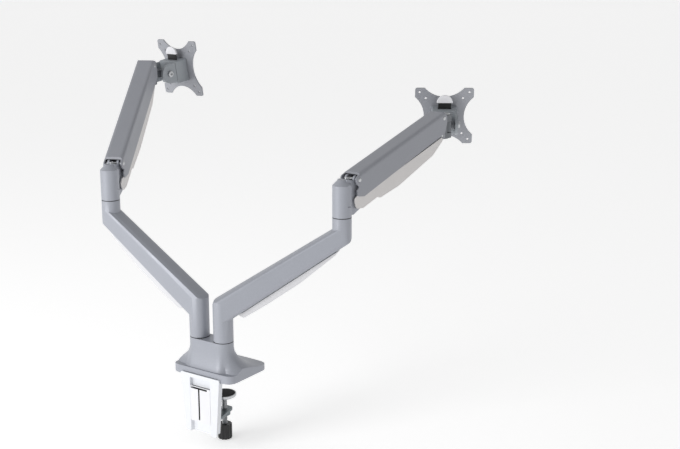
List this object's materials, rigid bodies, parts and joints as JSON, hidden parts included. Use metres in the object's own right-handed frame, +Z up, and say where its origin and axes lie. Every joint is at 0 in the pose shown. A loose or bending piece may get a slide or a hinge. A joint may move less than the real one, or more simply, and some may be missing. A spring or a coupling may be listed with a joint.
{
  "type": "monitor arm",
  "caption": "Desk-clamped dual monitor arm: jointed lower arms, gas-sprung parallel upper arms and tilting display plates.",
  "frame": {"origin": "on the desk top, under the base pad, midway between the two base swivel axes", "axes": "+Z up; X along the desk's rear edge, +X to the right of somebody at the desk; +Y off the desk, away from them"},
  "size_m": [0.6658, 0.578, 0.719],
  "materials": {
    "arm_paint": "satin silver-grey powder coat",
    "dark_paint": "satin mid-grey powder coat",
    "white_paint": "white powder coat",
    "white_plastic": "moulded, fine grain",
    "black_plastic": "moulded, matte",
    "rubber_pad": "matte",
    "bright_steel": "zinc-plated",
    "cast_zinc": "cast, bare"
  },
  "bodies": {
    "root": {"base_casting": "arm_paint", "base_pad": "rubber_pad", "clamp_bracket": "white_paint", "cable_clip": "white_plastic", "clamp_jaw": "cast_zinc", "right_base_post": "bright_steel", "right_base_washer": "black_plastic", "left_base_post": "bright_steel", "left_base_washer": "black_plastic"},
    "clamp_press": {"pressure_disc": "rubber_pad"},
    "clamp_spindle": {"clamp_screw": "bright_steel", "clamp_knob": "black_plastic"},
    "right_lower": {"right_lower_arm": "arm_paint", "right_lower_cable_cover": "white_plastic", "right_elbow_washer": "black_plastic"},
    "right_knuckle": {"right_elbow_knuckle": "arm_paint", "right_elbow_post": "bright_steel", "right_rear_upper_pin": "bright_steel", "right_rear_lower_pin": "bright_steel"},
    "right_tension_screw": {"right_tension_screw": "bright_steel"},
    "right_tension_block": {"right_tension_block": "cast_zinc"},
    "right_upper": {"right_upper_shell": "arm_paint", "right_front_upper_pin": "bright_steel"},
    "right_link": {"right_lower_link": "dark_paint", "right_upper_cable_cover": "white_plastic", "right_front_lower_pin": "bright_steel"},
    "right_gas_cylinder": {"right_gas_cylinder": "black_plastic"},
    "right_gas_rod": {"right_gas_rod": "bright_steel"},
    "right_front": {"right_front_bracket": "dark_paint", "right_pan_pin": "bright_steel"},
    "right_neck": {"right_pan_neck": "dark_paint"},
    "right_tilt": {"right_tilt_bracket": "arm_paint", "right_tilt_bolt": "bright_steel"},
    "right_head": {"right_dock": "arm_paint", "right_vesa_plate": "dark_paint"},
    "right_release": {"right_release_tab": "white_plastic"},
    "left_lower": {"left_lower_arm": "arm_paint", "left_lower_cable_cover": "white_plastic", "left_elbow_washer": "black_plastic"},
    "left_knuckle": {"left_elbow_knuckle": "arm_paint", "left_elbow_post": "bright_steel", "left_rear_upper_pin": "bright_steel", "left_rear_lower_pin": "bright_steel"},
    "left_tension_screw": {"left_tension_screw": "bright_steel"},
    "left_tension_block": {"left_tension_block": "cast_zinc"},
    "left_upper": {"left_upper_shell": "arm_paint", "left_front_upper_pin": "bright_steel"},
    "left_link": {"left_lower_link": "dark_paint", "left_upper_cable_cover": "white_plastic", "left_front_lower_pin": "bright_steel"},
    "left_gas_cylinder": {"left_gas_cylinder": "black_plastic"},
    "left_gas_rod": {"left_gas_rod": "bright_steel"},
    "left_front": {"left_front_bracket": "dark_paint", "left_pan_pin": "bright_steel"},
    "left_neck": {"left_pan_neck": "dark_paint"},
    "left_tilt": {"left_tilt_bracket": "arm_paint", "left_tilt_bolt": "bright_steel"},
    "left_head": {"left_dock": "arm_paint", "left_vesa_plate": "dark_paint"},
    "left_release": {"left_release_tab": "white_plastic"}
  },
  "joints": [
    {"name": "clamp_raise", "type": "slide", "parent": "root", "child": "clamp_press", "axis": [0, 0, 1], "range_m": [-0.019, 0.016]},
    {"name": "clamp_turn", "type": "hinge", "parent": "clamp_press", "child": "clamp_spindle", "pos_m": [0, -0.031, 0], "axis": [0, 0, 1], "range_deg": [-4570, 3850]},
    {"name": "right_base_swivel", "type": "hinge", "parent": "root", "child": "right_lower", "pos_m": [0.0285, 0, 0.068], "axis": [0, 0, 1], "range_deg": [-90, 90]},
    {"name": "right_elbow_swivel", "type": "hinge", "parent": "right_lower", "child": "right_knuckle", "pos_m": [0.2445, 0, 0.299], "axis": [0, 0, 1], "range_deg": [-54.6, 125.4]},
    {"name": "right_lift", "type": "hinge", "parent": "right_knuckle", "child": "right_upper", "pos_m": [0.25574, -0.02455, 0.3644], "axis": [-0.9092, -0.4163, 0], "range_deg": [-65.5, 3]},
    {"name": "right_link_swing", "type": "hinge", "parent": "right_knuckle", "child": "right_link", "pos_m": [0.25657, -0.02637, 0.3304], "axis": [-0.9092, -0.4163, 0], "range_deg": [-65.5, 3]},
    {"name": "right_front_level", "type": "hinge", "parent": "right_upper", "child": "right_front", "pos_m": [0.34086, -0.21047, 0.53296], "axis": [-0.9092, -0.4163, 0], "range_deg": [-3, 65.5]},
    {"name": "right_gas_swing", "type": "hinge", "parent": "right_upper", "child": "right_gas_cylinder", "pos_m": [0.33206, -0.19124, 0.50516], "axis": [-0.9092, -0.4163, 0], "range_deg": [-0.11, 2.17]},
    {"name": "right_gas_stroke", "type": "slide", "parent": "right_gas_cylinder", "child": "right_gas_rod", "axis": [-0.3211, 0.7014, -0.6363], "range_m": [-0.01592, 0.00092]},
    {"name": "right_tension_turn", "type": "hinge", "parent": "right_knuckle", "child": "right_tension_screw", "pos_m": [0.25012, -0.01227, 0.349], "axis": [0, 0, 1], "range_deg": [-1450, 1450]},
    {"name": "right_tension_slide", "type": "slide", "parent": "right_knuckle", "child": "right_tension_block", "axis": [0, 0, 1], "range_m": [-0.0032, 0.0032]},
    {"name": "right_head_pan", "type": "hinge", "parent": "right_front", "child": "right_neck", "pos_m": [0.35439, -0.24002, 0.51196], "axis": [0, 0, 1], "range_deg": [-31.5, 92.5]},
    {"name": "right_head_tilt", "type": "hinge", "parent": "right_neck", "child": "right_tilt", "pos_m": [0.35141, -0.26887, 0.51196], "axis": [-0.9947, 0.1028, 0], "range_deg": [-54.7, 35.3]},
    {"name": "right_head_rotation", "type": "hinge", "parent": "right_tilt", "child": "right_head", "pos_m": [0.35141, -0.26887, 0.51196], "axis": [-0.1013, -0.9805, 0.1685], "range_deg": [-90, 90]},
    {"name": "right_release_press", "type": "slide", "parent": "right_head", "child": "right_release", "axis": [-0.0173, -0.1676, -0.9857], "range_m": [0, 0.004], "stiffness_N_per_m": 400, "springref_m": -0.002},
    {"name": "left_base_swivel", "type": "hinge", "parent": "root", "child": "left_lower", "pos_m": [-0.0285, 0, 0.068], "axis": [0, 0, 1], "range_deg": [-124.8, 55.2]},
    {"name": "left_elbow_swivel", "type": "hinge", "parent": "left_lower", "child": "left_knuckle", "pos_m": [-0.20587, -0.12327, 0.299], "axis": [0, 0, 1], "range_deg": [-108.2, 71.8]},
    {"name": "left_lift", "type": "hinge", "parent": "left_knuckle", "child": "left_upper", "pos_m": [-0.20916, -0.15007, 0.3644], "axis": [-0.9925, 0.1219, 0], "range_deg": [-44.4, 24.6]},
    {"name": "left_link_swing", "type": "hinge", "parent": "left_knuckle", "child": "left_link", "pos_m": [-0.2094, -0.15206, 0.3304], "axis": [-0.9925, 0.1219, 0], "range_deg": [-44.4, 24.6]},
    {"name": "left_front_level", "type": "hinge", "parent": "left_upper", "child": "left_front", "pos_m": [-0.2398, -0.39965, 0.44805], "axis": [-0.9925, 0.1219, 0], "range_deg": [-24.6, 44.4]},
    {"name": "left_gas_swing", "type": "hinge", "parent": "left_upper", "child": "left_gas_cylinder", "pos_m": [-0.23618, -0.37014, 0.42972], "axis": [-0.9925, 0.1219, 0], "range_deg": [-0.82, 1.48]},
    {"name": "left_gas_stroke", "type": "slide", "parent": "left_gas_cylinder", "child": "left_gas_rod", "axis": [0.1149, 0.9355, -0.3341], "range_m": [-0.01066, 0.006]},
    {"name": "left_tension_turn", "type": "hinge", "parent": "left_knuckle", "child": "left_tension_screw", "pos_m": [-0.20751, -0.13667, 0.349], "axis": [0, 0, 1], "range_deg": [-1450, 1450]},
    {"name": "left_tension_slide", "type": "slide", "parent": "left_knuckle", "child": "left_tension_block", "axis": [0, 0, 1], "range_m": [-0.0032, 0.0032]},
    {"name": "left_head_pan", "type": "hinge", "parent": "left_front", "child": "left_neck", "pos_m": [-0.24376, -0.43191, 0.42705], "axis": [0, 0, 1], "range_deg": [-101.7, 22.3]},
    {"name": "left_head_tilt", "type": "hinge", "parent": "left_neck", "child": "left_tilt", "pos_m": [-0.2281, -0.45631, 0.42705], "axis": [-0.8415, -0.5402, 0], "range_deg": [-57.1, 32.9]},
    {"name": "left_head_rotation", "type": "hinge", "parent": "left_tilt", "child": "left_head", "pos_m": [-0.2281, -0.45631, 0.42705], "axis": [0.5282, -0.8228, 0.2096], "range_deg": [-90, 90]},
    {"name": "left_release_press", "type": "slide", "parent": "left_head", "child": "left_release", "axis": [0.1132, -0.1764, -0.9778], "range_m": [0, 0.004], "stiffness_N_per_m": 400, "springref_m": -0.002}
  ],
  "couplings": [
    {"joint": "clamp_turn", "follows": "clamp_raise", "rad_per_m": 4188.8},
    {"joint": "right_link_swing", "follows": "right_lift", "ratio": 1},
    {"joint": "right_front_level", "follows": "right_lift", "ratio": -1},
    {"joint": "right_gas_swing", "follows": "right_lift", "ratio": -0.033},
    {"joint": "right_gas_stroke", "follows": "right_lift", "m_per_rad": 0.01375},
    {"joint": "right_tension_turn", "follows": "right_tension_slide", "rad_per_m": 7854},
    {"joint": "left_link_swing", "follows": "left_lift", "ratio": 1},
    {"joint": "left_front_level", "follows": "left_lift", "ratio": -1},
    {"joint": "left_gas_swing", "follows": "left_lift", "ratio": -0.033},
    {"joint": "left_gas_stroke", "follows": "left_lift", "m_per_rad": 0.0135},
    {"joint": "left_tension_turn", "follows": "left_tension_slide", "rad_per_m": 7854}
  ]
}
